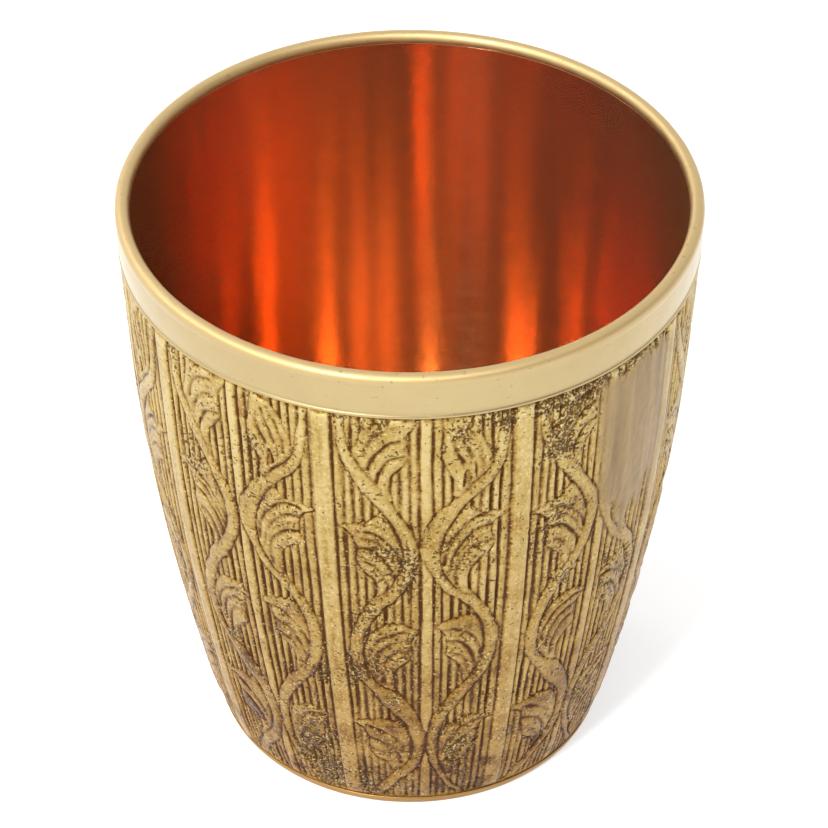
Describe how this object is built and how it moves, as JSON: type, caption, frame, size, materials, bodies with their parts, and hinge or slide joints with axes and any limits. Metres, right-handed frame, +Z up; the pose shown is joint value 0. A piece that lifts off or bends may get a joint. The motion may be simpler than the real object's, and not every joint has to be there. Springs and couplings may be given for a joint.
{
  "type": "drinking tumbler",
  "caption": "Handleless double-walled drinking tumbler: embossed brass wall with vine panels, copper inside, plain rim collar and foot ring.",
  "frame": {"origin": "centre of the foot, on the surface that the tumbler stands on", "axes": "+Z up along the cup's axis; -Y is the front, where the widest view of one panel faces"},
  "size_m": [0.08, 0.08, 0.0884],
  "materials": {
    "cast_brass": "cast and embossed, satin, darkened in the recesses",
    "copper": "spun copper, bright satin",
    "polished_brass": "polished",
    "turned_brass": "turned, satin",
    "solder": "matte"
  },
  "bodies": {
    "root": {"embossed_wall": "cast_brass", "copper_liner": "copper", "rim_band": "polished_brass", "foot_ring": "polished_brass", "base_disc": "turned_brass", "rim_solder": "solder", "base_solder": "solder"}
  },
  "joints": []
}
